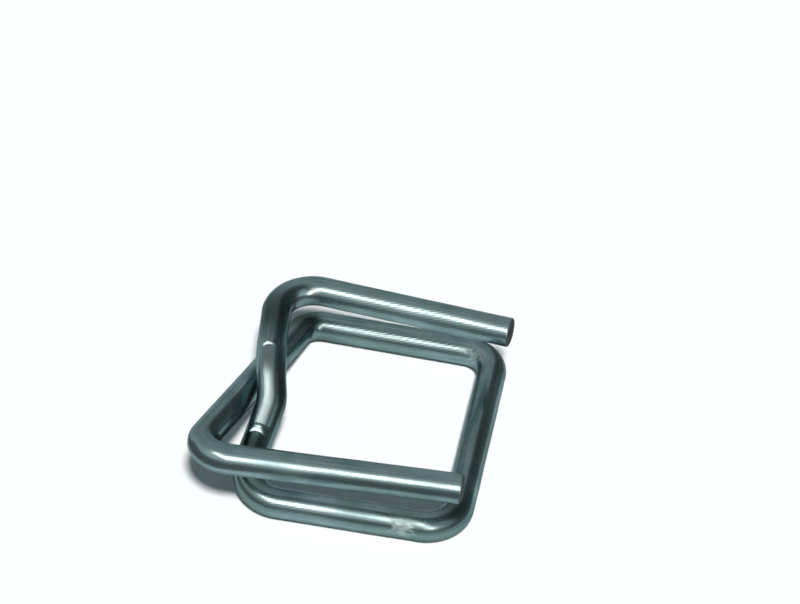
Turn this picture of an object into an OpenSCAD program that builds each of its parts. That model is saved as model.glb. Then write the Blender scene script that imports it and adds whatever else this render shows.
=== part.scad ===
// Wire strapping buckle, one length of round steel wire.
// The middle of the wire is bent into a flat frame that rests on the ground, closed by one short bar.
// Its two arms cross each other at the open side, climb, and come back above the long bars as two
// tines with free ends. A strap is looped round the tines and over the closed bar.
// Units are millimetres, +Z is up, +X points along the tines to the closed bar.

/* [Wire] */
// Diameter of the drawn wire
wire_diameter = 3.3; // [2.8:0.1:3.6]
// Height of the broken edge round each sheared end
end_chamfer = 0.2; // [0.1:0.05:0.4]

/* [Closed frame] */
// Distance between the centre lines of the two long bars, at the closed bar
frame_width = 28.7; // [26:0.1:32]
// Near long bar, from the closed bar to the corner of its arm
near_bar_length = 23.7; // [22:0.1:26]
// Far long bar, from the closed bar to the corner of its arm
far_bar_length = 22.2; // [20:0.1:24]
// How far the near bar leans inward along its length
near_bar_lean = 0.4; // [0:0.1:1]
// How far the far bar leans outward along its length
far_bar_lean = 1.1; // [0:0.1:2]

/* [Tines] */
// Height of the near tine above the near bar, centre to centre
near_tine_rise = 6.9; // [6:0.1:8]
// Height of the far tine above the far bar, centre to centre
far_tine_rise = 7.3; // [6.5:0.1:8.5]
// Near tine corner, measured back from the closed bar
near_tine_reach = 28.3; // [26:0.1:32]
// Far tine corner, measured back from the closed bar
far_tine_reach = 24.8; // [23:0.1:27]
// Side offset of the near tine at its corner
near_tine_corner_side = 15.7; // [14:0.1:17]
// Side offset of the near tine at its free end
near_tine_end_side = 15; // [13:0.1:17]
// Side offset of the far tine at its corner
far_tine_corner_side = 13.4; // [12:0.1:15]
// Side offset of the far tine at its free end
far_tine_end_side = 10.2; // [9:0.1:14]
// Near tine past the closed bar's centre line
near_tine_overhang = 0.9; // [0:0.1:4]
// Far tine past the closed bar's centre line
far_tine_overhang = 2; // [0:0.1:4]

/* [Crossing] */
// Gap left where the bent arm passes beside the straight arm
side_gap = 0.5; // [0.4:0.1:1.2]
// Gap left where the bent arm climbs over the straight arm
top_gap = 1.1; // [0.9:0.1:2]
// Side position where the climb leaves the lower part of the bent arm
climb_foot = 6; // [5.4:0.1:6.8]
// How far that foot stands back from the place of passing
foot_back = 0.6; // [0.3:0.1:1]
// Side position where the bent arm passes the straight arm, toward the near bar
passing_place = 3.2; // [2.5:0.1:4]
// Side position where the climb ends above the straight arm, toward the far bar
climb_end = 0.8; // [0.3:0.1:1.4]
// Lean of the passing side, from level
side_angle = 5; // [0:1:12]
// Lean of the climbing side, from level
top_angle = 64; // [60:1:72]

/* [Bends] */
// Bends at the two ends of the closed bar, to the centre line
closed_bend = 3.6; // [3:0.1:4.5]
// Bend from the near bar into the bent arm
near_arm_bend = 4.2; // [3:0.1:5]
// Bend from the far bar into the straight arm
far_arm_bend = 2.6; // [2.2:0.1:4]
// Bend from the straight arm into the near tine
near_tine_bend = 3.6; // [2.6:0.1:4.5]
// Bend from the bent arm into the far tine
far_tine_bend = 4.1; // [3:0.1:5]
// Bend at the climb's foot
foot_bend = 3; // [2.2:0.1:4]
// Sideways bend at the place of passing
passing_bend = 5; // [3:0.1:6]
// Slack bend at the top of the climb
top_bend = 8.5; // [6:0.1:9.5]
// Growth of the wire's radius where it is upset in a bend
bend_swell = 0.02; // [0.01:0.01:0.05]

/* [Press mark] */
// Depth of the flat that the forming tool leaves on the climb
flat_depth = 0.14; // [0.05:0.01:0.2]
// How far the flat's lower shoulder cuts into the bend at the foot
shoulder_reach = 0.1; // [0.1:0.1:0.8]
// Share of the bend at the top of the climb that the flat runs round
flat_top_share = 0.7; // [0.4:0.05:0.9]

/* [Hidden] */
wire_steps = 48;
bend_steps = 120;
$fn = wire_steps;
wire_radius = wire_diameter / 2;
half_width = frame_width / 2;
// Straight runs end this far inside the swollen bends
run_overlap = 0.1;

// Straight arm, from the far bar's corner to the near tine's corner
far_corner = [-far_bar_length, half_width + far_bar_lean, 0];
near_tine_corner = [-near_tine_reach, -near_tine_corner_side, near_tine_rise];

// Point of the straight arm at a given side position
function on_arm(side) =
    let (share = (far_corner.y - side) / (far_corner.y - near_tine_corner.y))
    far_corner + share * (near_tine_corner - far_corner);

// Point set off from the straight arm, at an angle above level
function beside_arm(side, distance, angle) =
    on_arm(side) + distance * [cos(angle), 0, sin(angle)];

// The climb lies in one slope, from its foot past the straight arm to its top
passing = beside_arm(-passing_place, wire_diameter + side_gap, side_angle);
climb_top = beside_arm(climb_end, wire_diameter + top_gap, top_angle);
climb_slope = (climb_top.z - passing.z) / (climb_top.y - passing.y);
foot_run = climb_foot - passing_place;
foot = passing - [foot_back, foot_run, foot_run * climb_slope];

// Corners of the centre line, from the near tine's free end to the far tine's
corners = [
    [near_tine_overhang, -near_tine_end_side, near_tine_rise],
    near_tine_corner,
    far_corner,
    [0, half_width, 0],
    [0, -half_width, 0],
    [-near_bar_length, near_bar_lean - half_width, 0],
    foot,
    passing,
    climb_top,
    [-far_tine_reach, far_tine_corner_side, far_tine_rise],
    [far_tine_overhang, far_tine_end_side, far_tine_rise]
];

// Bend radius at each corner, none at the free ends
bends = [
    0,
    near_tine_bend,
    far_arm_bend,
    closed_bend,
    closed_bend,
    near_arm_bend,
    foot_bend,
    passing_bend,
    top_bend,
    far_tine_bend,
    0
];

last = len(corners) - 1;
foot_corner = 6;
top_corner = 8;

function unit(v) = v / norm(v);
function heading(i) = unit(corners[i + 1] - corners[i]);
function turn(i) = acos(heading(i - 1) * heading(i));
function setback(i) = i == 0 || i == last ? 0 : bends[i] * tan(turn(i) / 2);
function bend_axis(i) = unit(cross(heading(i - 1), heading(i)));
function bend_inward(i) = cross(bend_axis(i), heading(i - 1));
function bend_centre(i) =
    corners[i] - setback(i) * heading(i - 1) + bends[i] * bend_inward(i);

// How far a full bend at corner i reaches from its centre along X (0) or Y (1)
function bend_extent(i, along) =
    bends[i] * sqrt(1 - pow(bend_axis(i)[along], 2)) + wire_radius + bend_swell;

// How far the leaning end face of a tine reaches past its centre along X
function face_extent(direction) =
    (wire_radius - end_chamfer) * sqrt(1 - pow(direction.x, 2));

// Middle of the outline seen from above, brought over the origin
front_x = max(
    corners[0].x + face_extent(heading(0)),
    corners[last].x + face_extent(heading(last - 1)),
    wire_radius
);
back_x = bend_centre(1).x - bend_extent(1, 0);
near_y = bend_centre(1).y - bend_extent(1, 1);
far_y = bend_centre(2).y + bend_extent(2, 1);
middle_x = (front_x + back_x) / 2;
middle_y = (near_y + far_y) / 2;

// Puts the children's axes on the given directions at a point
module placed(x_axis, y_axis, z_axis, at) {
    multmatrix([
        [x_axis.x, y_axis.x, z_axis.x, at.x],
        [x_axis.y, y_axis.y, z_axis.y, at.y],
        [x_axis.z, y_axis.z, z_axis.z, at.z]
    ])
        children();
}

// Puts the children's Z axis on the bend's axis and their X axis on its start
module placed_at_bend(i) {
    placed(-bend_inward(i), heading(i - 1), bend_axis(i), bend_centre(i))
        children();
}

// Turns the children's Z axis onto a direction
module aimed(direction) {
    rotate([0, acos(direction.z), atan2(direction.y, direction.x)])
        children();
}

// Straight run that follows corner i, with a broken edge where the wire is sheared
module run(i) {
    first_cut = i == 0 ? end_chamfer : 0;
    last_cut = i == last - 1 ? end_chamfer : 0;
    start = corners[i] + (setback(i) - (i == 0 ? 0 : run_overlap)) * heading(i);
    end = corners[i + 1] - (setback(i + 1) - (i == last - 1 ? 0 : run_overlap)) * heading(i);
    length = norm(end - start);
    translate(start)
        aimed(heading(i)) {
            translate([0, 0, first_cut])
                cylinder(d = wire_diameter, h = length - first_cut - last_cut);
            if (first_cut > 0)
                cylinder(r1 = wire_radius - end_chamfer, r2 = wire_radius, h = first_cut);
            if (last_cut > 0)
                translate([0, 0, length - last_cut])
                    cylinder(r1 = wire_radius, r2 = wire_radius - end_chamfer, h = last_cut);
        }
}

// Round bend at corner i
module bend(i) {
    placed_at_bend(i)
        rotate_extrude(angle = turn(i), $fn = bend_steps)
            translate([bends[i], 0])
                circle(r = wire_radius + bend_swell, $fn = wire_steps);
}

// Solid taken off the climb's slope, from the shoulder at its foot to the bend at its top
module slope_cut() {
    facing = unit([0, -climb_slope, 1]);
    uphill = unit([0, 1, climb_slope]);
    low = foot + (setback(foot_corner) - shoulder_reach) * heading(foot_corner);
    high = climb_top - (setback(top_corner) - run_overlap) * heading(top_corner - 1);
    left = min(foot.x, climb_top.x) - wire_radius / 2;
    right = passing.x + wire_radius / 2;
    placed([1, 0, 0], uphill, facing, [left, low.y, low.z] + (wire_radius - flat_depth) * facing)
        cube([right - left, (high - low) * uphill, wire_radius]);
}

// The same depth taken off part of the way round the bend at the top, to a wall
module top_cut() {
    placed_at_bend(top_corner)
        rotate_extrude(angle = flat_top_share * turn(top_corner), $fn = bend_steps)
            translate([top_bend + wire_radius - flat_depth, -wire_radius])
                square([wire_radius, wire_diameter]);
}

module wire_buckle() {
    color("silver")
        translate([-middle_x, -middle_y, wire_radius + bend_swell])
            difference() {
                for (i = [0 : last - 1]) {
                    run(i);
                    if (i > 0)
                        bend(i);
                }
                slope_cut();
                top_cut();
            }
}

wire_buckle();
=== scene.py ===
"""Looks of a wire strapping buckle: one bent length of zinc-plated wire on a pale studio floor."""

import logging
import math
from dataclasses import dataclass, field
from enum import Enum, IntEnum

import bmesh
import bpy
import numpy as np
from bpy.types import ID, Material, Mesh, Node, NodeSocket, NodeTree, Object
from mathutils import Matrix, Vector


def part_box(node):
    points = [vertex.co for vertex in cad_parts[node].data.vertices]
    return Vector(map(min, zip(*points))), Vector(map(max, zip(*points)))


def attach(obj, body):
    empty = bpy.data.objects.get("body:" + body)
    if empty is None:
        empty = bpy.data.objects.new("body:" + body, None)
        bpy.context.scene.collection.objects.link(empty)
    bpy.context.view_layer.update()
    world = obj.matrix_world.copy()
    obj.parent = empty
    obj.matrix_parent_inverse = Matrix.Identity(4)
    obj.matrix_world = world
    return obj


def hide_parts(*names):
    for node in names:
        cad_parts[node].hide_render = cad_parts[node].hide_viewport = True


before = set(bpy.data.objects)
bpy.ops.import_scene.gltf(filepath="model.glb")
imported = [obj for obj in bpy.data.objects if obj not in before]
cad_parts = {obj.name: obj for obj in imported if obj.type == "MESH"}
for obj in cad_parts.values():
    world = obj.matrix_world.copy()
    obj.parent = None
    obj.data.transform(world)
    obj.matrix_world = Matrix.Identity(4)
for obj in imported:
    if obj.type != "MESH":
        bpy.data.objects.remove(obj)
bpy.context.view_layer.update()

LOG = logging.getLogger("strapping_buckle")
MM = 0.001
UP = np.array([0.0, 0.0, 1.0])
# Ways that worn places and patches of painted shade face
TOWARDS_VIEWER = (0.13, -0.75, 0.65)
BELOW_VIEWER = (0.13, -0.95, 0.3)
ABOVE = (-0.2, -0.5, 0.85)
UNDERSIDE = (0.1, -0.8, -0.6)
LOW_FRONT = (0.1, -0.97, -0.2)
INTO_WINDOW = (-0.3, -0.8, 0.5)
RIGHT_FLANK = (0.8, -0.3, 0.5)

# Map that gives the material its places along and around the wire, in millimetres
SURFACE_MAP = "wire_surface_mm"
# Blender's wave texture draws one band in this many of its own units at scale 1
WAVE_BAND = 2 * math.pi / 20
# Input sockets of the Mix node for colours and for numbers, and its output for colours
MIX_COLOURS = (6, 7)
MIX_NUMBERS = (2, 3)
COLOUR_RESULT = 2


class Run(IntEnum):
    """Straight runs of the wire, in the order in which the wire passes through them."""

    NEAR_TINE = 0
    STRAIGHT_ARM = 1
    FAR_BAR = 2
    CLOSED_BAR = 3
    NEAR_BAR = 4
    LOWER_ARM = 5
    CLIMB_FOOT = 6
    CLIMB = 7
    UPPER_ARM = 8
    FAR_TINE = 9


class Mask(Enum):
    """Surface masks that the mesh carries to its material, one value at each vertex."""

    SCUFF = "scuff"
    DULLED = "dulled"
    ROLLED = "rolled"
    PRESSED = "pressed"
    # Painted shade and painted dark reflections, drawn as darker zinc
    PAINTED_SHADE = "painted_shade"
    SHEARED = "sheared"


def linear(colour: str) -> tuple[float, float, float, float]:
    """Turn an sRGB hex colour into a linear one.

    Args:
        colour: Six hex digits after a number sign.

    Returns:
        Linear red, green, blue and a full alpha.
    """
    parts = [int(colour[i:i + 2], 16) / 255 for i in (1, 3, 5)]
    red, green, blue = (c / 12.92 if c <= 0.04045 else ((c + 0.055) / 1.055) ** 2.4 for c in parts)
    return red, green, blue, 1.0


def add_node(tree: NodeTree, kind: str, inputs: dict[int | str, object] | None = None,
             **settings: object) -> Node:
    """Add one node with its settings, values and links.

    Args:
        tree: Node tree that gets the node.
        kind: Blender's name of the node type.
        inputs: Input names or numbers, each with a value or with the output socket to link.
        settings: Attributes of the node.

    Returns:
        The new node.
    """
    node = tree.nodes.new(kind)
    for name, value in settings.items():
        setattr(node, name, value)
    for name, value in (inputs or {}).items():
        if isinstance(value, NodeSocket):
            tree.links.new(value, node.inputs[name])
        else:
            node.inputs[name].default_value = value
    return node


def new_material(name: str) -> Material:
    """Make a material with an empty node tree.

    Args:
        name: Name of the material.

    Returns:
        The new material.
    """
    material = bpy.data.materials.new(name)
    material.use_nodes = True
    material.node_tree.nodes.clear()
    return material


def unit(vector: np.ndarray) -> np.ndarray:
    """Scale a vector to length 1."""
    return vector / np.linalg.norm(vector)


def smooth_step(values: np.ndarray, low: float, high: float) -> np.ndarray:
    """Rise smoothly from 0 at low to 1 at high."""
    share = np.clip((values - low) / (high - low), 0, 1)
    return share * share * (3 - 2 * share)


@dataclass(frozen=True)
class Grain:
    """Uneven pattern on the wire: its real size, its finer octaves and its noise's span, none to full."""

    length_mm: float
    width_mm: float
    detail: float
    none: float
    full: float


@dataclass(frozen=True)
class ZincPlatedWire:
    """Zinc-plated, drawn steel wire.

    The die leaves fine lines along the wire, and the thin bright zinc coat follows them. It gives the eye
    a cool grey metal with long soft highlights, faintly streaked, that turn cloudy where the coat is
    uneven. Feed rolls print short slanting lines into it, handling leaves matt white scuffs of zinc, and
    painted shade darkens it where shadows and dark reflections fall.
    """

    light_zinc: str = "#8FA8AD"
    dark_zinc: str = "#58757B"
    greenish_zinc: str = "#6B8580"
    rolled_zinc: str = "#8DA6AA"
    pressed_zinc: str = "#768B8E"
    # Painted shade: the darker colour where the wire lies in shadow or reflects dark things
    painted_shade_zinc: str = "#40524D"
    scuffed_zinc: str = "#9BB0B3"
    bare_steel: str = "#22302F"
    # Zinc's reflection dips a little before it rises to full at the very rim
    rim_tint: str = "#B4B8B8"
    roughness: float = 0.2
    cloudy_roughness: float = 0.33
    dulled_roughness: float = 0.45
    pressed_roughness: float = 0.34
    scuffed_roughness: float = 0.5
    sheared_roughness: float = 0.7
    sheared_metallic: float = 0.15
    clouds: Grain = Grain(3.5, 3.5, detail=3.0, none=0.35, full=0.65)
    green_patches: Grain = Grain(9.0, 9.0, detail=1.0, none=0.4, full=0.8)
    scuff_grains: Grain = Grain(0.7, 0.35, detail=2.0, none=0.85, full=1.25)
    # Real die lines, some hundredths of a millimetre apart, are too fine to show and are drawn coarser
    die_lines: Grain = Grain(12.0, 0.3, detail=2.0, none=0.33, full=0.67)
    # Streaks are clouds mixed with this share of die lines
    die_line_share: float = 0.6
    # Real roll lines are about 0.2 mm apart and are drawn coarser, so that they show
    roll_line_mm: float = 0.3
    roll_line_slant: float = -70.0
    # How far the roll lines waver, and how finely
    roll_line_waver: float = 1.8
    roll_line_detail: float = 2.0
    roll_line_detail_scale: float = 1.5
    die_depth_mm: float = 0.006
    roll_depth_mm: float = 0.008
    scuff_depth_mm: float = 0.03

    def material(self) -> Material:
        """Make the wire's material.

        Returns:
            The material, which reads the wire's surface map in millimetres and its masks.
        """
        material = new_material("zinc_plated_drawn_steel_wire")
        tree = material.node_tree
        surface = add_node(tree, "ShaderNodeUVMap", uv_map=SURFACE_MAP).outputs["UV"]
        mask = {}
        for kind in Mask:
            mask[kind] = add_node(tree, "ShaderNodeAttribute", attribute_name=kind.value).outputs["Fac"]

        _, cloudy = self._grains(tree, surface, self.clouds)
        lines, lined = self._grains(tree, surface, self.die_lines)
        _, greenish = self._grains(tree, surface, self.green_patches)
        _, scuffed = self._grains(tree, surface, self.scuff_grains, mask[Mask.SCUFF])
        rolled = self._rolled(tree, surface, mask[Mask.ROLLED])
        streaky = add_node(tree, "ShaderNodeMix", {0: self.die_line_share, MIX_NUMBERS[0]: cloudy,
                                                   MIX_NUMBERS[1]: lined}).outputs[0]

        colour = linear(self.light_zinc)
        for share, layer in ((streaky, self.dark_zinc), (greenish, self.greenish_zinc),
                             (rolled, self.rolled_zinc), (mask[Mask.PRESSED], self.pressed_zinc),
                             (mask[Mask.PAINTED_SHADE], self.painted_shade_zinc),
                             (mask[Mask.SHEARED], self.bare_steel), (scuffed, self.scuffed_zinc)):
            both = {0: share, MIX_COLOURS[0]: colour, MIX_COLOURS[1]: linear(layer)}
            colour = add_node(tree, "ShaderNodeMix", both, data_type="RGBA").outputs[COLOUR_RESULT]
        rough = self.roughness
        for share, layer in ((streaky, self.cloudy_roughness),
                             (mask[Mask.DULLED], self.dulled_roughness),
                             (mask[Mask.PRESSED], self.pressed_roughness),
                             (scuffed, self.scuffed_roughness),
                             (mask[Mask.SHEARED], self.sheared_roughness)):
            both = {0: share, MIX_NUMBERS[0]: rough, MIX_NUMBERS[1]: layer}
            rough = add_node(tree, "ShaderNodeMix", both).outputs[0]
        metallic = add_node(tree, "ShaderNodeMapRange", {
            "Value": mask[Mask.SHEARED], "To Min": 1.0, "To Max": self.sheared_metallic})
        relief = {}
        for depth_mm, height in ((self.die_depth_mm, lines), (self.roll_depth_mm, rolled),
                                 (self.scuff_depth_mm, scuffed)):
            bump = add_node(tree, "ShaderNodeBump", {
                "Distance": depth_mm * MM, "Height": height, **relief})
            relief = {"Normal": bump.outputs[0]}
        shader = add_node(tree, "ShaderNodeBsdfPrincipled", {
            "Base Color": colour, "Metallic": metallic.outputs[0], "Roughness": rough,
            "Specular Tint": linear(self.rim_tint), **relief})
        add_node(tree, "ShaderNodeOutputMaterial", {"Surface": shader.outputs[0]})
        return material

    @staticmethod
    def _grains(tree: NodeTree, surface: NodeSocket, grain: Grain,
                mask: NodeSocket | None = None) -> tuple[NodeSocket, NodeSocket]:
        """Draw an uneven pattern of a real length and width.

        Args:
            tree: The material's node tree.
            surface: Place on the wire in millimetres, along it and around it.
            grain: The pattern.
            mask: Where the pattern shows, if not everywhere.

        Returns:
            Its noise, about 0.3 to 0.7, and its share, 0 to 1.
        """
        place = add_node(tree, "ShaderNodeMapping", {
            "Vector": surface, "Scale": (1 / grain.length_mm, 1 / grain.width_mm, 1)})
        noise = add_node(tree, "ShaderNodeTexNoise", {
            "Vector": place.outputs[0], "Scale": 1.0, "Detail": grain.detail}, noise_dimensions="2D")
        level = noise.outputs[0]
        if mask is not None:
            level = add_node(tree, "ShaderNodeMath", {0: level, 1: mask}, operation="ADD").outputs[0]
        share = add_node(tree, "ShaderNodeMapRange", {
            "Value": level, "From Min": grain.none, "From Max": grain.full})
        return noise.outputs[0], share.outputs[0]

    def _rolled(self, tree: NodeTree, surface: NodeSocket, mask: NodeSocket) -> NodeSocket:
        """Draw the slanting lines that the feed rolls print.

        Args:
            tree: The material's node tree.
            surface: Place on the wire in millimetres.
            mask: Where the rolls gripped the wire.

        Returns:
            Height of the lines, 0 where there are none.
        """
        place = add_node(tree, "ShaderNodeMapping", {
            "Vector": surface, "Rotation": (0, 0, math.radians(self.roll_line_slant))})
        waves = add_node(tree, "ShaderNodeTexWave", {
            "Vector": place.outputs[0], "Scale": WAVE_BAND / self.roll_line_mm,
            "Distortion": self.roll_line_waver, "Detail": self.roll_line_detail,
            "Detail Scale": self.roll_line_detail_scale})
        return add_node(tree, "ShaderNodeMath", {0: waves.outputs["Fac"], 1: mask},
                        operation="MULTIPLY").outputs[0]


@dataclass(frozen=True)
class WhitePaper:
    """Matt white paper, uncoated and rolled out flat: an even, pale ground that keeps soft shadows."""

    white: str = "#FAFAFA"

    def material(self) -> Material:
        """Make the floor's material.

        Returns:
            A plain diffuse material.
        """
        material = new_material("matt_white_paper")
        shader = add_node(material.node_tree, "ShaderNodeBsdfDiffuse", {"Color": linear(self.white)})
        add_node(material.node_tree, "ShaderNodeOutputMaterial", {"Surface": shader.outputs[0]})
        return material


@dataclass(frozen=True)
class TentCloth:
    """Grey tent cloth, lit from outside: pale on the left, dark on the right, paler at its front sides."""

    # Places across the tent from left to right, as shares of its radius, and how bright the cloth is there
    levels: tuple[tuple[float, float], ...] = (
        (-0.95, 0.9), (-0.72, 0.57), (-0.45, 0.58), (-0.04, 0.58), (0.28, 0.12))
    # The front sides: how bright they are, and where they start and are full, across the tent and forwards
    side_level: float = 0.9
    side_across: tuple[float, float] = (0.35, 0.6)
    side_forwards: tuple[float, float] = (0.05, 0.35)

    def material(self, radius: float) -> Material:
        """Make the tent's material.

        Args:
            radius: Radius of the tent in metres.

        Returns:
            A glowing material that changes across the tent.
        """
        material = new_material("grey_tent_cloth")
        tree = material.node_tree
        place = add_node(tree, "ShaderNodeNewGeometry").outputs["Position"]
        axes = add_node(tree, "ShaderNodeSeparateXYZ", {0: place}).outputs
        share = add_node(tree, "ShaderNodeMapRange", {
            "Value": axes["X"], "From Min": -radius, "From Max": radius})
        ramp = add_node(tree, "ShaderNodeValToRGB", {0: share.outputs[0]})
        ramp.color_ramp.interpolation = "EASE"
        stops = ramp.color_ramp.elements
        while len(stops) < len(self.levels):
            stops.new(1.0)
        for stop, (place_across, level) in zip(stops, self.levels):
            stop.position = (place_across + 1) / 2
            stop.color = (level, level, level, 1.0)
        aside = add_node(tree, "ShaderNodeMath", {0: axes["X"]}, operation="ABSOLUTE")
        across = add_node(tree, "ShaderNodeMapRange", {
            "Value": aside.outputs[0], "From Min": self.side_across[0] * radius,
            "From Max": self.side_across[1] * radius}, interpolation_type="SMOOTHSTEP")
        forwards = add_node(tree, "ShaderNodeMapRange", {
            "Value": axes["Y"], "From Min": -self.side_forwards[0] * radius,
            "From Max": -self.side_forwards[1] * radius}, interpolation_type="SMOOTHSTEP")
        side = add_node(tree, "ShaderNodeMath", {0: across.outputs[0], 1: forwards.outputs[0]},
                        operation="MULTIPLY")
        colour = add_node(tree, "ShaderNodeMix", {
            0: side.outputs[0], MIX_COLOURS[0]: ramp.outputs[0],
            MIX_COLOURS[1]: (self.side_level, self.side_level, self.side_level, 1.0)}, data_type="RGBA")
        glow = add_node(tree, "ShaderNodeEmission", {"Color": colour.outputs[COLOUR_RESULT]})
        add_node(tree, "ShaderNodeOutputMaterial", {"Surface": glow.outputs[0]})
        return material


@dataclass(frozen=True)
class FlagCard:
    """Dark grey matt card, which puts the dark line under each highlight of bright wire."""

    level: float = 0.2

    def material(self) -> Material:
        """Make the flag's material.

        Returns:
            A material of one even, dim level.
        """
        material = new_material("dark_grey_card")
        glow = add_node(material.node_tree, "ShaderNodeEmission", {"Strength": self.level})
        add_node(material.node_tree, "ShaderNodeOutputMaterial", {"Surface": glow.outputs[0]})
        return material


@dataclass
class WireRoute:
    """Centre line of the bent wire in millimetres, from the near tine's free end to the far tine's.

    The closed bar's middle is the start of all measures, +X points along the tines and +Z is up.
    """

    wire_diameter: float = 3.3
    frame_width: float = 28.7
    near_bar_length: float = 23.7
    far_bar_length: float = 22.2
    near_bar_lean: float = 0.4
    far_bar_lean: float = 1.1
    near_tine_rise: float = 6.9
    far_tine_rise: float = 7.3
    near_tine_reach: float = 28.3
    far_tine_reach: float = 24.8
    near_tine_corner_side: float = 15.7
    near_tine_end_side: float = 15.0
    far_tine_corner_side: float = 13.4
    far_tine_end_side: float = 10.2
    near_tine_overhang: float = 0.9
    far_tine_overhang: float = 2.0
    side_gap: float = 0.5
    top_gap: float = 1.1
    climb_foot: float = 6.0
    foot_back: float = 0.6
    passing_place: float = 3.2
    climb_end: float = 0.8
    side_angle: float = 5.0
    top_angle: float = 64.0
    closed_bend: float = 3.6
    near_arm_bend: float = 4.2
    far_arm_bend: float = 2.6
    near_tine_bend: float = 3.6
    far_tine_bend: float = 4.1
    foot_bend: float = 3.0
    passing_bend: float = 5.0
    top_bend: float = 8.5
    bend_swell: float = 0.02
    # The swelling eases in over the wire's diameter divided by this
    swell_ease: float = 5.0

    def __post_init__(self) -> None:
        """Work out the corners, bends and stretches of the wire."""
        self.radius = self.wire_diameter / 2
        self.corners = self._corners()
        self.bends = [0, self.near_tine_bend, self.far_arm_bend, self.closed_bend, self.closed_bend,
                      self.near_arm_bend, self.foot_bend, self.passing_bend, self.top_bend,
                      self.far_tine_bend, 0]
        legs = np.diff(self.corners, axis=0)
        self.leg_lengths = np.linalg.norm(legs, axis=1)
        self.headings = legs / self.leg_lengths[:, None]
        self.turns = [0.0]
        for before, after in zip(self.headings, self.headings[1:]):
            self.turns.append(math.acos(float(before @ after)))
        self.turns.append(0.0)
        self.setbacks = [r * math.tan(t / 2) for r, t in zip(self.bends, self.turns)]
        self.run_starts = []
        self.run_ends = []
        place = 0.0
        for run in Run:
            self.run_starts.append(place)
            place += self.leg_lengths[run] - self.setbacks[run] - self.setbacks[run + 1]
            self.run_ends.append(place)
            place += self.bends[run + 1] * self.turns[run + 1]
        self.length = self.run_ends[-1]

    def _corners(self) -> np.ndarray:
        """Work out the corner points of the centre line.

        Returns:
            One point a row, from the near tine's free end to the far tine's.
        """
        half = self.frame_width / 2
        far_corner = np.array([-self.far_bar_length, half + self.far_bar_lean, 0])
        near_tine_corner = np.array([
            -self.near_tine_reach, -self.near_tine_corner_side, self.near_tine_rise])

        def beside_arm(side: float, distance: float, angle: float) -> np.ndarray:
            """Find a point set off from the straight arm.

            Args:
                side: Side position of the place on the arm.
                distance: How far the point is set off.
                angle: Degrees above level at which it is set off.

            Returns:
                The point.
            """
            share = (far_corner[1] - side) / (far_corner[1] - near_tine_corner[1])
            lean = math.radians(angle)
            off = distance * np.array([math.cos(lean), 0, math.sin(lean)])
            return far_corner + share * (near_tine_corner - far_corner) + off

        passing = beside_arm(-self.passing_place, self.wire_diameter + self.side_gap, self.side_angle)
        climb_top = beside_arm(self.climb_end, self.wire_diameter + self.top_gap, self.top_angle)
        self.climb_slope = (climb_top[2] - passing[2]) / (climb_top[1] - passing[1])
        foot_run = self.climb_foot - self.passing_place
        foot = passing - [self.foot_back, foot_run, foot_run * self.climb_slope]
        return np.array([
            [self.near_tine_overhang, -self.near_tine_end_side, self.near_tine_rise],
            near_tine_corner,
            far_corner,
            [0, half, 0],
            [0, -half, 0],
            [-self.near_bar_length, self.near_bar_lean - half, 0],
            foot,
            passing,
            climb_top,
            [-self.far_tine_reach, self.far_tine_corner_side, self.far_tine_rise],
            [self.far_tine_overhang, self.far_tine_end_side, self.far_tine_rise],
        ])

    def place_on(self, run: Run, share: float) -> float:
        """Find the length of wire up to a share of the way between a run's two corners."""
        return self.run_starts[run] + share * self.leg_lengths[run] - self.setbacks[run]

    def follow(self, places: np.ndarray) -> tuple[np.ndarray, np.ndarray]:
        """Follow the centre line.

        Args:
            places: Rising lengths of wire from the near tine's free end.

        Returns:
            Points and unit tangents, one a row.
        """
        points = np.zeros((len(places), 3))
        tangents = np.zeros((len(places), 3))
        for run in Run:
            heading = self.headings[run]
            start = self.corners[run] + self.setbacks[run] * heading
            on_run = (places >= self.run_starts[run]) & (places <= self.run_ends[run])
            points[on_run] = start + (places[on_run] - self.run_starts[run])[:, None] * heading
            tangents[on_run] = heading
            if run == Run.FAR_TINE:
                break
            bend = self.bends[run + 1]
            inward = unit(self.headings[run + 1] - (self.headings[run + 1] @ heading) * heading)
            centre = self.corners[run + 1] - self.setbacks[run + 1] * heading + bend * inward
            on_bend = (places > self.run_ends[run]) & (places < self.run_starts[run + 1])
            angle = ((places[on_bend] - self.run_ends[run]) / bend)[:, None]
            points[on_bend] = centre + bend * (np.sin(angle) * heading - np.cos(angle) * inward)
            tangents[on_bend] = np.cos(angle) * heading + np.sin(angle) * inward
        return points, tangents

    def swell(self, places: np.ndarray) -> np.ndarray:
        """Find how far the wire's radius has grown in its bends.

        Args:
            places: Lengths of wire from the near tine's free end.

        Returns:
            Growth of the radius, which eases in and out at the ends of each bend.
        """
        ease = self.wire_diameter / self.swell_ease
        grown = np.zeros(len(places))
        for start, end in zip(self.run_ends, self.run_starts[1:]):
            rise = smooth_step(places, start, start + ease)
            fall = smooth_step(-places, -end, ease - end)
            grown = np.maximum(grown, rise * fall)
        return self.bend_swell * grown


@dataclass(frozen=True)
class Mark:
    """One worn place or patch of painted shade on the wire: where it is, which way it faces and how large
    it is, in millimetres.
    """

    mask: Mask
    run: Run
    share: float
    facing: tuple[float, float, float]
    length: float
    width: float
    depth: float = 0.0
    strength: float = 1.0


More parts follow.
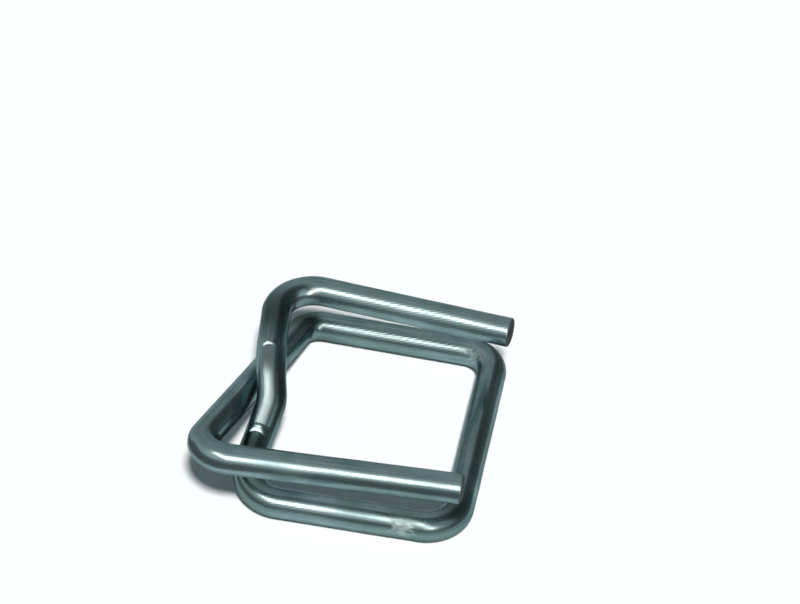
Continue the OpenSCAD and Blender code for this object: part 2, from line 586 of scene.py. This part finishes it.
@dataclass
class WireBuckle:
    """The buckle itself: one bent wire with its press flat, sheared ends, worn places and painted shade.
    """

    node: str = "wire_buckle"
    slot: str = "wire"
    body: str = "root"
    route: WireRoute = field(default_factory=WireRoute)
    finish: ZincPlatedWire = field(default_factory=ZincPlatedWire)
    # Points round the wire, and how far apart its rings are, plain and at fine places
    sides: int = 64
    ring_step: float = 0.24
    fine_step: float = 0.06
    # Rings are closer within this many walls of a fine place
    fine_reach: float = 4.0
    ring_samples: int = 40000
    box_samples: int = 20000
    flat_depth: float = 0.14
    flat_edge: float = 0.08
    # The tool's face is a little hollow, so the flat drops this much to its sides, for each square
    # millimetre of half width, and it stood askew, so the flat leans to the left
    flat_crown: float = 0.07
    flat_tilt: float = -0.09
    shoulder_reach: float = 0.1
    flat_top_share: float = 0.7
    # Beyond its marks the tool rises to this height above the wire by tool_end, and it no longer counts
    # at tool_fade
    tool_clearance: float = 0.4
    tool_end: float = 1.0
    tool_fade: float = 2.0
    # Nick that the same tool leaves below the flat: places along the wire from the flat's shoulder,
    # and depths
    nick: tuple[tuple[float, float], ...] = ((-2.2, -0.06), (-1.25, 0.28), (-0.56, -0.03), (-0.1, -0.03))
    # How far the tool's rounded edge falls back from its middle, for each square millimetre of half width
    edge_fall: float = 0.4
    edge_half_width: float = 1.0
    # The flat's height is not followed further round the wire than to this cosine
    least_cosine: float = 0.1
    # Wall at each end of the flat, and the lip that the tool pushed up past its top
    wall: float = 0.26
    lip: float = 0.09
    lip_length: float = 0.3
    lip_narrowness: int = 8
    # The shear's blade bends the edge over where it enters, low on the front, and tears the rest
    end_round: float = 0.2
    near_tine_bevel: float = 0.2
    far_tine_bevel: float = 0.03
    bevel_side: float = 125.0
    end_tear: float = 0.03
    # Waves of the torn face, from its low front and round it
    tear_waves: tuple[float, float] = (7.0, 3.0)
    end_reach: float = 1.6
    face_rings: int = 7
    ripple: float = 0.006
    ripple_length: float = 7.0
    # How many waves make the uneven skin, the span of their lengths as shares, and their most lobes
    # round the wire
    ripple_waves: int = 9
    ripple_span: tuple[float, float] = (0.5, 2.0)
    ripple_lobes: int = 3
    ripple_seed: int = 11
    # Rolled and dulled along the tines and bars, scuffed in spots, and darkened with painted shade and
    # painted dark reflections round the crossing, in bends and low on the bars
    marks: tuple[Mark, ...] = (
        Mark(Mask.ROLLED, Run.FAR_TINE, 0.6, TOWARDS_VIEWER, 12.0, 1.9, strength=0.85),
        Mark(Mask.DULLED, Run.FAR_TINE, 0.6, BELOW_VIEWER, 10.0, 0.8, strength=0.6),
        Mark(Mask.DULLED, Run.FAR_TINE, 0.7, TOWARDS_VIEWER, 9.0, 1.2, strength=0.35),
        Mark(Mask.ROLLED, Run.FAR_BAR, 0.48, TOWARDS_VIEWER, 9.0, 1.3),
        Mark(Mask.DULLED, Run.FAR_BAR, 0.45, TOWARDS_VIEWER, 9.0, 1.3, strength=0.45),
        Mark(Mask.ROLLED, Run.NEAR_BAR, 0.68, TOWARDS_VIEWER, 4.0, 1.0, strength=0.8),
        Mark(Mask.DULLED, Run.NEAR_BAR, 0.5, TOWARDS_VIEWER, 9.0, 1.3, strength=0.4),
        Mark(Mask.ROLLED, Run.NEAR_TINE, 0.45, TOWARDS_VIEWER, 8.0, 0.8, strength=0.2),
        Mark(Mask.SCUFF, Run.NEAR_BAR, 0.22, BELOW_VIEWER, 1.7, 1.2, 0.03, 0.75),
        Mark(Mask.DULLED, Run.NEAR_BAR, 0.22, TOWARDS_VIEWER, 1.6, 1.2),
        Mark(Mask.DULLED, Run.FAR_BAR, 0.88, TOWARDS_VIEWER, 1.4, 1.5),
        Mark(Mask.DULLED, Run.NEAR_TINE, 0.64, BELOW_VIEWER, 2.6, 0.8, strength=0.8),
        Mark(Mask.SCUFF, Run.CLOSED_BAR, 0.16, ABOVE, 1.2, 0.3, 0.01, 0.5),
        Mark(Mask.PAINTED_SHADE, Run.UPPER_ARM, 0.45, ABOVE, 4.0, 3.2, strength=0.95),
        Mark(Mask.PAINTED_SHADE, Run.LOWER_ARM, 0.7, ABOVE, 1.6, 2.0, strength=0.95),
        Mark(Mask.PAINTED_SHADE, Run.FAR_TINE, 0.975, UNDERSIDE, 0.9, 0.9, strength=0.9),
        Mark(Mask.DULLED, Run.FAR_TINE, 0.968, LOW_FRONT, 0.55, 0.55, 0.12, 0.5),
        Mark(Mask.PAINTED_SHADE, Run.CLOSED_BAR, 0.93, ABOVE, 1.8, 1.7, strength=0.9),
        Mark(Mask.SCUFF, Run.FAR_BAR, 0.94, INTO_WINDOW, 1.7, 1.3, 0.01, 0.75),
        Mark(Mask.PAINTED_SHADE, Run.CLIMB, 0.1, RIGHT_FLANK, 4.5, 0.9, strength=0.9),
        Mark(Mask.PAINTED_SHADE, Run.CLIMB, 0.8, ABOVE, 1.3, 0.9, strength=0.55),
        Mark(Mask.PAINTED_SHADE, Run.FAR_TINE, 0.14, UNDERSIDE, 3.2, 1.3, strength=0.9),
        Mark(Mask.PAINTED_SHADE, Run.STRAIGHT_ARM, 0.95, ABOVE, 3.0, 2.2, strength=0.95),
        Mark(Mask.PAINTED_SHADE, Run.FAR_BAR, 0.08, UNDERSIDE, 2.6, 1.2, strength=0.6),
        # Painted dark reflection: the dark line under the highlights of the near and far bars
        Mark(Mask.PAINTED_SHADE, Run.NEAR_BAR, 0.45, BELOW_VIEWER, 8.0, 0.35, strength=0.65),
        Mark(Mask.PAINTED_SHADE, Run.FAR_BAR, 0.5, BELOW_VIEWER, 8.0, 0.35, strength=0.6),
    )

    def build(self) -> Object:
        """Build the wire's mesh where the CAD solid is.

        Returns:
            The wire, which stands for the CAD solid and rides on its body.
        """
        places, scales = self._rings()
        angles = np.arange(self.sides) * 2 * math.pi / self.sides - math.pi
        points, tangents = self.route.follow(places)
        upward = UP - tangents * (tangents @ UP)[:, None]
        upward /= np.linalg.norm(upward, axis=1)[:, None]
        sideways = np.cross(tangents, upward)

        heights, masks = self._relief(places, angles, upward, sideways)
        from_end = np.minimum(places, self.route.length - places)
        masks[Mask.SHEARED] += 1 - smooth_step(from_end, 0, self.end_round)[:, None]
        radii, slides = self._sheared(places, scales, angles, self.route.radius + heights)
        cosines = np.cos(angles)[None, :, None]
        sines = np.sin(angles)[None, :, None]
        outward = cosines * upward[:, None] + sines * sideways[:, None]
        skin = points[:, None] + radii[:, :, None] * outward + slides[:, :, None] * tangents[:, None]
        # On the end faces the surface map goes on towards their middles
        onward = np.where(places > self.route.length / 2, 1, -1)
        lengths = onward * (1 - scales) * self.route.radius + places
        piece = self._mesh(skin + self._shift(), lengths, angles, masks)
        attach(piece, self.body)
        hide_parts(self.node)
        return piece

    def dress(self, piece: Object) -> None:
        """Give the wire its finish."""
        piece.data.materials.append(self.finish.material())

    def _shift(self) -> np.ndarray:
        """Find the way from the route's own zero to the CAD frame's.

        Returns:
            The shift in millimetres that brings the plain wire onto the CAD node.
        """
        places = np.linspace(0, self.route.length, self.box_samples)
        points, tangents = self.route.follow(places)
        reach = (self.route.radius + self.route.swell(places))[:, None] * np.sqrt(1 - tangents ** 2)
        # The broken edge makes the end faces narrower than the wire
        reach[[0, -1]] -= self.end_round * np.sqrt(1 - tangents[[0, -1]] ** 2)
        low, high = (points - reach).min(0), (points + reach).max(0)
        box_low, box_high = (np.array(corner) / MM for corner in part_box(self.node))
        shift = (box_low + box_high) / 2 - (low + high) / 2
        # The wire lies on the floor, so its height is matched there
        shift[2] = box_low[2] - low[2]
        return shift

    def _flat_span(self) -> tuple[float, float]:
        """Find where the press flat lies.

        Returns:
            Its lower shoulder and its upper wall, as lengths along the wire.
        """
        climb_end, bend_end = self.route.run_ends[Run.CLIMB], self.route.run_starts[Run.UPPER_ARM]
        shoulder = self.route.run_starts[Run.CLIMB_FOOT] - self.shoulder_reach
        return shoulder, climb_end + self.flat_top_share * (bend_end - climb_end)

    def _rings(self) -> tuple[np.ndarray, np.ndarray]:
        """Space the rings along the wire, closer together at the press flat's walls and at the ends.

        Returns:
            Lengths along the wire, and each ring's share of the full radius, less than 1 on the end faces.
        """
        places = np.linspace(0, self.route.length, self.ring_samples)
        density = np.full(len(places), 1 / self.ring_step)
        shoulder, top = self._flat_span()
        nick = [shoulder + place for place, _ in self.nick]
        for fine in (*nick, shoulder, top, 0, self.route.length):
            density += np.exp(-((places - fine) / (self.fine_reach * self.wall)) ** 2) / self.fine_step
        count = np.concatenate([[0], np.cumsum((density[1:] + density[:-1]) / 2 * np.diff(places))])
        along = np.interp(np.linspace(0, count[-1], int(count[-1])), count, places)
        face = np.arange(1, self.face_rings + 1) / (self.face_rings + 1)
        places = np.concatenate([np.zeros(len(face)), along, np.full(len(face), self.route.length)])
        return places, np.concatenate([face, np.ones(len(along)), face[::-1]])

    def _sheared(self, places: np.ndarray, scales: np.ndarray, angles: np.ndarray,
                 radii: np.ndarray) -> tuple[np.ndarray, np.ndarray]:
        """Shape the two ends as a shear leaves them, bent over low on the front and torn.

        Args:
            places: Lengths along the wire.
            scales: Each ring's share of the full radius.
            angles: Angles round the wire, 0 at its top.
            radii: Radius of the skin, one row a ring.

        Returns:
            The radii with rounded edges, and how far each point slides along the wire.
        """
        at_near_tine = places < self.route.length / 2
        from_end = np.minimum(places, self.route.length - places)[:, None]
        depth = np.clip(self.end_round - from_end, 0, None)
        radii = scales[:, None] * (radii - self.end_round + np.sqrt(self.end_round ** 2 - depth ** 2))
        # The two tines point the same way but the wire runs through them in opposite ways
        inward = np.where(at_near_tine, 1, -1)[:, None]
        from_bevel = angles[None, :] + inward * math.radians(self.bevel_side)
        low_front = np.cos(from_bevel) * radii / self.route.radius
        bevel = np.where(at_near_tine, self.near_tine_bevel, self.far_tine_bevel)[:, None]
        slide = bevel * smooth_step(low_front, 0, 1) * (1 - smooth_step(from_end, 0, self.end_reach))
        waves, turns = self.tear_waves
        torn = self.end_tear * np.abs(np.sin(waves * low_front + turns * np.sin(angles)[None, :]))
        return radii, inward * (slide + torn * (scales < 1)[:, None])

    def _relief(self, rings: np.ndarray, angles: np.ndarray, upward: np.ndarray,
                sideways: np.ndarray) -> tuple[np.ndarray, dict[Mask, np.ndarray]]:
        """Work out the skin's height above the plain radius, and its masks.

        Args:
            rings: Lengths along the wire.
            angles: Angles round the wire, 0 at its top.
            upward: Unit vector at each ring towards angle 0.
            sideways: Unit vector at each ring towards a quarter turn.

        Returns:
            Heights in millimetres, and the masks, one row a ring.
        """
        heights = np.repeat(self.route.swell(rings)[:, None], self.sides, axis=1)
        heights += self._ripples(rings, angles)
        masks = {kind: np.zeros(heights.shape) for kind in Mask}
        for mark in self.marks:
            away = self._turned_from(np.array(mark.facing), angles, upward, sideways)
            place = self.route.place_on(mark.run, mark.share)
            near = np.exp(-((rings - place) / mark.length) ** 2)[:, None]
            near = near * np.exp(-(away * self.route.radius / mark.width) ** 2)
            heights -= mark.depth * near
            masks[mark.mask] = np.maximum(masks[mark.mask], mark.strength * near)

        facing = unit(np.array([self.flat_tilt, -self.route.climb_slope, 1]))
        away = self._turned_from(facing, angles, upward, sideways)
        heights, masks[Mask.PRESSED] = self._pressed(rings, away, heights)
        return heights, masks

    def _pressed(self, rings: np.ndarray, away: np.ndarray,
                 heights: np.ndarray) -> tuple[np.ndarray, np.ndarray]:
        """Press the forming tool's flat, nick and lip into the wire.

        Args:
            rings: Lengths along the wire.
            away: How far each place round the wire is turned from the tool, one row a ring.
            heights: Heights of the skin before, one row a ring.

        Returns:
            Heights of the pressed skin, and the mask of the flat.
        """
        radius = self.route.radius
        across = (away * radius).clip(-self.edge_half_width, self.edge_half_width) ** 2
        edges = rings[:, None] + self.edge_fall * across
        # The crown starts from the flat's edge, whose half width squared is about twice radius times depth
        cut = self._cut_depths(edges) + self.flat_crown * (across - 2 * radius * self.flat_depth)
        flat = (radius - cut) / np.maximum(np.cos(away), self.least_cosine) - radius
        # The lower of skin and flat, with a rounded edge where they meet
        pressed = heights - self.flat_edge * np.logaddexp(0, (heights - flat) / self.flat_edge)
        shoulder, top = self._flat_span()
        foot = shoulder + self.nick[0][0]
        within = smooth_step(rings, foot - self.tool_fade, foot - self.tool_end)
        within *= smooth_step(-rings, -top - self.tool_fade, -top - self.tool_end)
        heights = heights + within[:, None] * (pressed - heights)
        from_lip = (edges - top - self.wall) / self.lip_length
        heights += self.lip * np.exp(-from_lip ** 2) * np.clip(np.cos(away), 0, 1) ** self.lip_narrowness
        return heights, (edges > shoulder) * smooth_step(-flat, 0, self.flat_depth / 2)

    def _cut_depths(self, edges: np.ndarray) -> np.ndarray:
        """Find how deep the forming tool cut into the wire's top.

        Args:
            edges: Lengths along the wire, measured along the tool's rounded edge.

        Returns:
            Depths in millimetres, less than 0 where the tool passed above the wire.
        """
        shoulder, top = self._flat_span()
        places = [shoulder + self.nick[0][0] - self.tool_end]
        depths = [-self.tool_clearance]
        for place, depth in self.nick:
            places.append(shoulder + place)
            depths.append(depth)
        half_wall = self.wall / 2
        places += [shoulder + half_wall, top - half_wall, top + half_wall, top + self.tool_end]
        depths += [self.flat_depth, self.flat_depth, -self.flat_edge, -self.tool_clearance]
        return np.interp(edges, places, depths)

    @staticmethod
    def _turned_from(facing: np.ndarray, angles: np.ndarray, upward: np.ndarray,
                     sideways: np.ndarray) -> np.ndarray:
        """Measure how far each place round the wire is turned from a direction, one row a ring."""
        middle = np.arctan2(sideways @ facing, upward @ facing)
        return (angles[None, :] - middle[:, None] + math.pi) % (2 * math.pi) - math.pi

    def _ripples(self, rings: np.ndarray, angles: np.ndarray) -> np.ndarray:
        """Make the slight unevenness of drawn and straightened wire.

        Args:
            rings: Lengths along the wire.
            angles: Angles round the wire.

        Returns:
            Heights in millimetres, one row a ring.
        """
        draws = np.random.default_rng(self.ripple_seed)
        heights = np.zeros((len(rings), len(angles)))
        for _ in range(self.ripple_waves):
            length = self.ripple_length * draws.uniform(*self.ripple_span)
            lobes = draws.integers(0, self.ripple_lobes + 1)
            phase = draws.uniform(0, 2 * math.pi)
            heights += np.sin(2 * math.pi * rings[:, None] / length + lobes * angles[None, :] + phase)
        return -self.ripple * (heights.max() - heights) / math.sqrt(self.ripple_waves)

    def _mesh(self, skin: np.ndarray, lengths: np.ndarray, angles: np.ndarray,
              masks: dict[Mask, np.ndarray]) -> Object:
        """Join the rings into one closed mesh with its surface map and masks.

        Args:
            skin: Points of the skin in millimetres, one row a ring.
            lengths: Length along the skin at each ring.
            angles: Angles round the wire.
            masks: Value of each mask at each point.

        Returns:
            The new object, in metres.
        """
        count, sides = skin.shape[:2]
        ring = np.arange(sides)
        after = (ring + 1) % sides
        start = np.arange(count - 1)[:, None] * sides
        quads = np.stack([start + ring, start + after, start + sides + after, start + sides + ring], 2)
        polygons = quads.reshape(-1, 4).tolist()
        vertices = (skin.reshape(-1, 3) * MM).tolist()
        first = len(vertices)
        vertices.append((skin[0].mean(0) * MM).tolist())
        vertices.append((skin[-1].mean(0) * MM).tolist())
        last_ring = (count - 1) * sides
        polygons += [[first, int(b), int(a)] for a, b in zip(ring, after)]
        polygons += [[first + 1, int(last_ring + a), int(last_ring + b)] for a, b in zip(ring, after)]
        mesh = bpy.data.meshes.new(self.node + "_skin")
        mesh.from_pydata(vertices, [], polygons)
        mesh.shade_smooth()

        for mask, values in masks.items():
            middles = values[[0, -1]].mean(1)
            layer = mesh.attributes.new(mask.value, "FLOAT", "POINT")
            layer.data.foreach_set("value", np.concatenate([values.ravel(), middles]).astype(np.float32))
        self._map_surface(mesh, lengths, angles)
        piece = bpy.data.objects.new("bent_wire", mesh)
        bpy.context.scene.collection.objects.link(piece)
        return piece

    def _map_surface(self, mesh: Mesh, lengths: np.ndarray, angles: np.ndarray) -> None:
        """Lay the surface map, in millimetres along and around the wire, with its seam under the wire.

        Args:
            mesh: The wire's mesh.
            lengths: Length along the skin at each ring.
            angles: Angles round the wire.
        """
        along = np.append(np.repeat(lengths, self.sides), [lengths[0], lengths[-1]])
        around = np.append(np.tile(angles * self.route.radius, len(lengths)), [0, 0])
        corners = np.zeros(len(mesh.loops), np.int32)
        mesh.loops.foreach_get("vertex_index", corners)
        places = np.stack([along[corners], around[corners]], 1)
        turn = 2 * math.pi * self.route.radius
        starts = np.zeros(len(mesh.polygons), np.int32)
        mesh.polygons.foreach_get("loop_start", starts)
        face = np.repeat(np.arange(len(starts)), np.diff(np.append(starts, len(corners))))
        highest = np.maximum.reduceat(places[:, 1], starts)[face]
        places[highest - places[:, 1] > turn / 2, 1] += turn
        layer = mesh.uv_layers.new(name=SURFACE_MAP)
        layer.uv.foreach_set("vector", places.astype(np.float32).ravel())


@dataclass
class Studio:
    """The plain studio round the buckle: paper floor, grey tent, dark flag, lights, backdrop and camera.

    Its lengths are in metres and its angles in degrees, and the lens and sensor are in millimetres.
    """

    floor_radius: float = 0.6
    floor_sides: int = 64
    tent_radius: float = 0.9
    # Sides of the tent round it, and from pole to pole
    tent_sides: tuple[int, int] = (48, 24)
    paper: WhitePaper = field(default_factory=WhitePaper)
    cloth: TentCloth = field(default_factory=TentCloth)
    card: FlagCard = field(default_factory=FlagCard)
    # The flag's profile as distances and heights: it starts on the floor and rises round front and sides
    flag_rings: tuple[tuple[float, float], ...] = ((0.03, 0.0003), (0.07, 0.002), (0.09, 0.03))
    flag_from: float = -100.0
    flag_to: float = 160.0
    flag_steps: int = 52
    softbox_azimuth: float = -1.0
    softbox_elevation: float = 44.4
    softbox_roll: float = -37.3
    softbox_distance: float = 0.628
    softbox_width: float = 1.2
    softbox_height: float = 0.14
    softbox_level: float = 9.8
    softbox_colour: str = "#FFEAE2"
    key_azimuth: float = 18.0
    key_elevation: float = 57.0
    key_spread: float = 8.0
    key_level: float = 1.11
    fill_level: float = 0.17
    fill_colour: str = "#C4E2EA"
    backdrop_colour: str = "#FFFFFF"
    camera_azimuth: float = 9.431
    camera_elevation: float = 40.159
    camera_roll: float = 1.691
    camera_distance: float = 0.32616
    camera_aim: tuple[float, float, float] = (0.000788, 0.02344, 0.0)
    # Share of the camera's distance at which it starts to see
    clip_share: float = 0.1
    lens: float = 125.58
    sensor: float = 36.0

    def build(self) -> None:
        """Build the floor, the tent, the flag, the two lights, the white backdrop and the camera."""
        self._floor()
        self._tent()
        self._flag()
        self._softbox()
        self._key()
        self._backdrop()
        self._camera()

    @staticmethod
    def _towards(azimuth: float, elevation: float) -> Vector:
        """Find the unit vector that is turned from the front towards +X, and raised above the floor."""
        turn, rise = math.radians(azimuth), math.radians(elevation)
        return Vector((math.sin(turn) * math.cos(rise), -math.cos(turn) * math.cos(rise), math.sin(rise)))

    @staticmethod
    def _link(name: str, data: ID) -> Object:
        """Make an object in the scene.

        Args:
            name: Name of the object.
            data: Its mesh, lamp or camera.

        Returns:
            The new object.
        """
        made = bpy.data.objects.new(name, data)
        bpy.context.scene.collection.objects.link(made)
        return made

    @staticmethod
    def _turned(away: Vector, roll: float) -> Matrix:
        """Turn a lamp or camera to look back at the buckle, rolled about its line of sight."""
        return away.to_track_quat("Z", "Y").to_matrix() @ Matrix.Rotation(math.radians(roll), 3, "Z")

    def _stand(self, name: str, shape: bmesh.types.BMesh, material: Material,
               reflected_only: bool) -> None:
        """Stand one shape in the studio.

        Args:
            name: Name of the object.
            shape: Its faces.
            material: Its material.
            reflected_only: Whether it shows in the wire's reflections alone.
        """
        mesh = bpy.data.meshes.new(name)
        shape.to_mesh(mesh)
        shape.free()
        mesh.materials.append(material)
        made = self._link(name, mesh)
        if reflected_only:
            made.visible_camera = False
            made.visible_diffuse = False
            made.visible_shadow = False

    def _floor(self) -> None:
        """Roll out the paper floor under the buckle."""
        shape = bmesh.new()
        bmesh.ops.create_circle(shape, cap_ends=True, segments=self.floor_sides, radius=self.floor_radius)
        self._stand("paper_floor", shape, self.paper.material(), reflected_only=False)

    def _tent(self) -> None:
        """Put up the grey tent, which the camera looks through and the wire reflects."""
        shape = bmesh.new()
        around, upward = self.tent_sides
        bmesh.ops.create_uvsphere(shape, u_segments=around, v_segments=upward, radius=self.tent_radius)
        below = [v for v in shape.verts if v.co.z < -MM]
        bmesh.ops.delete(shape, geom=below, context="VERTS")
        self._stand("grey_tent", shape, self.cloth.material(self.tent_radius), reflected_only=True)

    def _flag(self) -> None:
        """Stand the dark flag round the buckle, where only the wire's reflections show it."""
        shape = bmesh.new()
        rows = []
        for step in range(self.flag_steps + 1):
            azimuth = self.flag_from + (self.flag_to - self.flag_from) * step / self.flag_steps
            away = self._towards(azimuth, 0)
            places = [away * reach + Vector((0, 0, height)) for reach, height in self.flag_rings]
            rows.append([shape.verts.new(place) for place in places])
        for row, after in zip(rows, rows[1:]):
            for i in range(len(row) - 1):
                shape.faces.new((row[i], after[i], after[i + 1], row[i + 1]))
        self._stand("dark_flag", shape, self.card.material(), reflected_only=True)

    def _softbox(self) -> None:
        """Hang the softbox in front of the buckle, where it draws the wire's long highlights."""
        data = bpy.data.lights.new("softbox", "AREA")
        data.shape = "RECTANGLE"
        data.size, data.size_y = self.softbox_width, self.softbox_height
        data.color = linear(self.softbox_colour)[:3]
        data.energy = self.softbox_level * math.pi * data.size * data.size_y
        away = self._towards(self.softbox_azimuth, self.softbox_elevation)
        softbox = self._link("softbox", data)
        softbox.location = away * self.softbox_distance
        softbox.rotation_euler = self._turned(away, self.softbox_roll).to_euler()
        softbox.visible_camera = False
        softbox.visible_diffuse = False

    def _key(self) -> None:
        """Set the key light, which lights the paper and casts the soft shadow."""
        data = bpy.data.lights.new("key_light", "SUN")
        data.energy = self.key_level * math.pi
        data.angle = math.radians(self.key_spread)
        away = self._towards(self.key_azimuth, self.key_elevation)
        key = self._link("key_light", data)
        key.rotation_euler = away.to_track_quat("Z", "Y").to_euler()
        key.visible_glossy = False

    def _backdrop(self) -> None:
        """Make the world white where it is looked at, and a dim fill light on the floor."""
        world = bpy.data.worlds.new("white_backdrop")
        world.use_nodes = True
        tree = world.node_tree
        tree.nodes.clear()
        rays = add_node(tree, "ShaderNodeLightPath").outputs
        seen = rays["Is Camera Ray"]
        for ray in ("Is Glossy Ray", "Is Transmission Ray"):
            either = add_node(tree, "ShaderNodeMath", {0: seen, 1: rays[ray]}, operation="MAXIMUM")
            seen = either.outputs[0]
        strength = add_node(tree, "ShaderNodeMath", {0: seen, 1: self.fill_level}, operation="MAXIMUM")
        colour = add_node(tree, "ShaderNodeMix", {
            0: seen, MIX_COLOURS[0]: linear(self.fill_colour),
            MIX_COLOURS[1]: linear(self.backdrop_colour)}, data_type="RGBA")
        white = add_node(tree, "ShaderNodeBackground", {
            "Strength": strength.outputs[0], "Color": colour.outputs[COLOUR_RESULT]})
        add_node(tree, "ShaderNodeOutputWorld", {"Surface": white.outputs[0]})
        bpy.context.scene.world = world

    def _camera(self) -> None:
        """Set the camera up at the photograph's angle."""
        data = bpy.data.cameras.new("photo_camera")
        data.lens, data.sensor_width = self.lens, self.sensor
        data.clip_start = self.camera_distance * self.clip_share
        camera = self._link("photo_camera", data)
        back = self._towards(self.camera_azimuth, self.camera_elevation)
        place = Vector(self.camera_aim) + back * self.camera_distance
        camera.matrix_world = Matrix.Translation(place) @ self._turned(back, self.camera_roll).to_4x4()
        bpy.context.scene.camera = camera


def main() -> None:
    """Build the buckle and its studio."""
    logging.basicConfig(level=logging.INFO, format="%(name)s: %(message)s")
    bpy.context.scene.view_settings.view_transform = "Standard"
    buckle = WireBuckle()
    piece = buckle.build()
    buckle.dress(piece)
    LOG.info("%s: %d faces", piece.name, len(piece.data.polygons))
    Studio().build()
    LOG.info("studio is up")


if __name__ == "__main__":
    main()
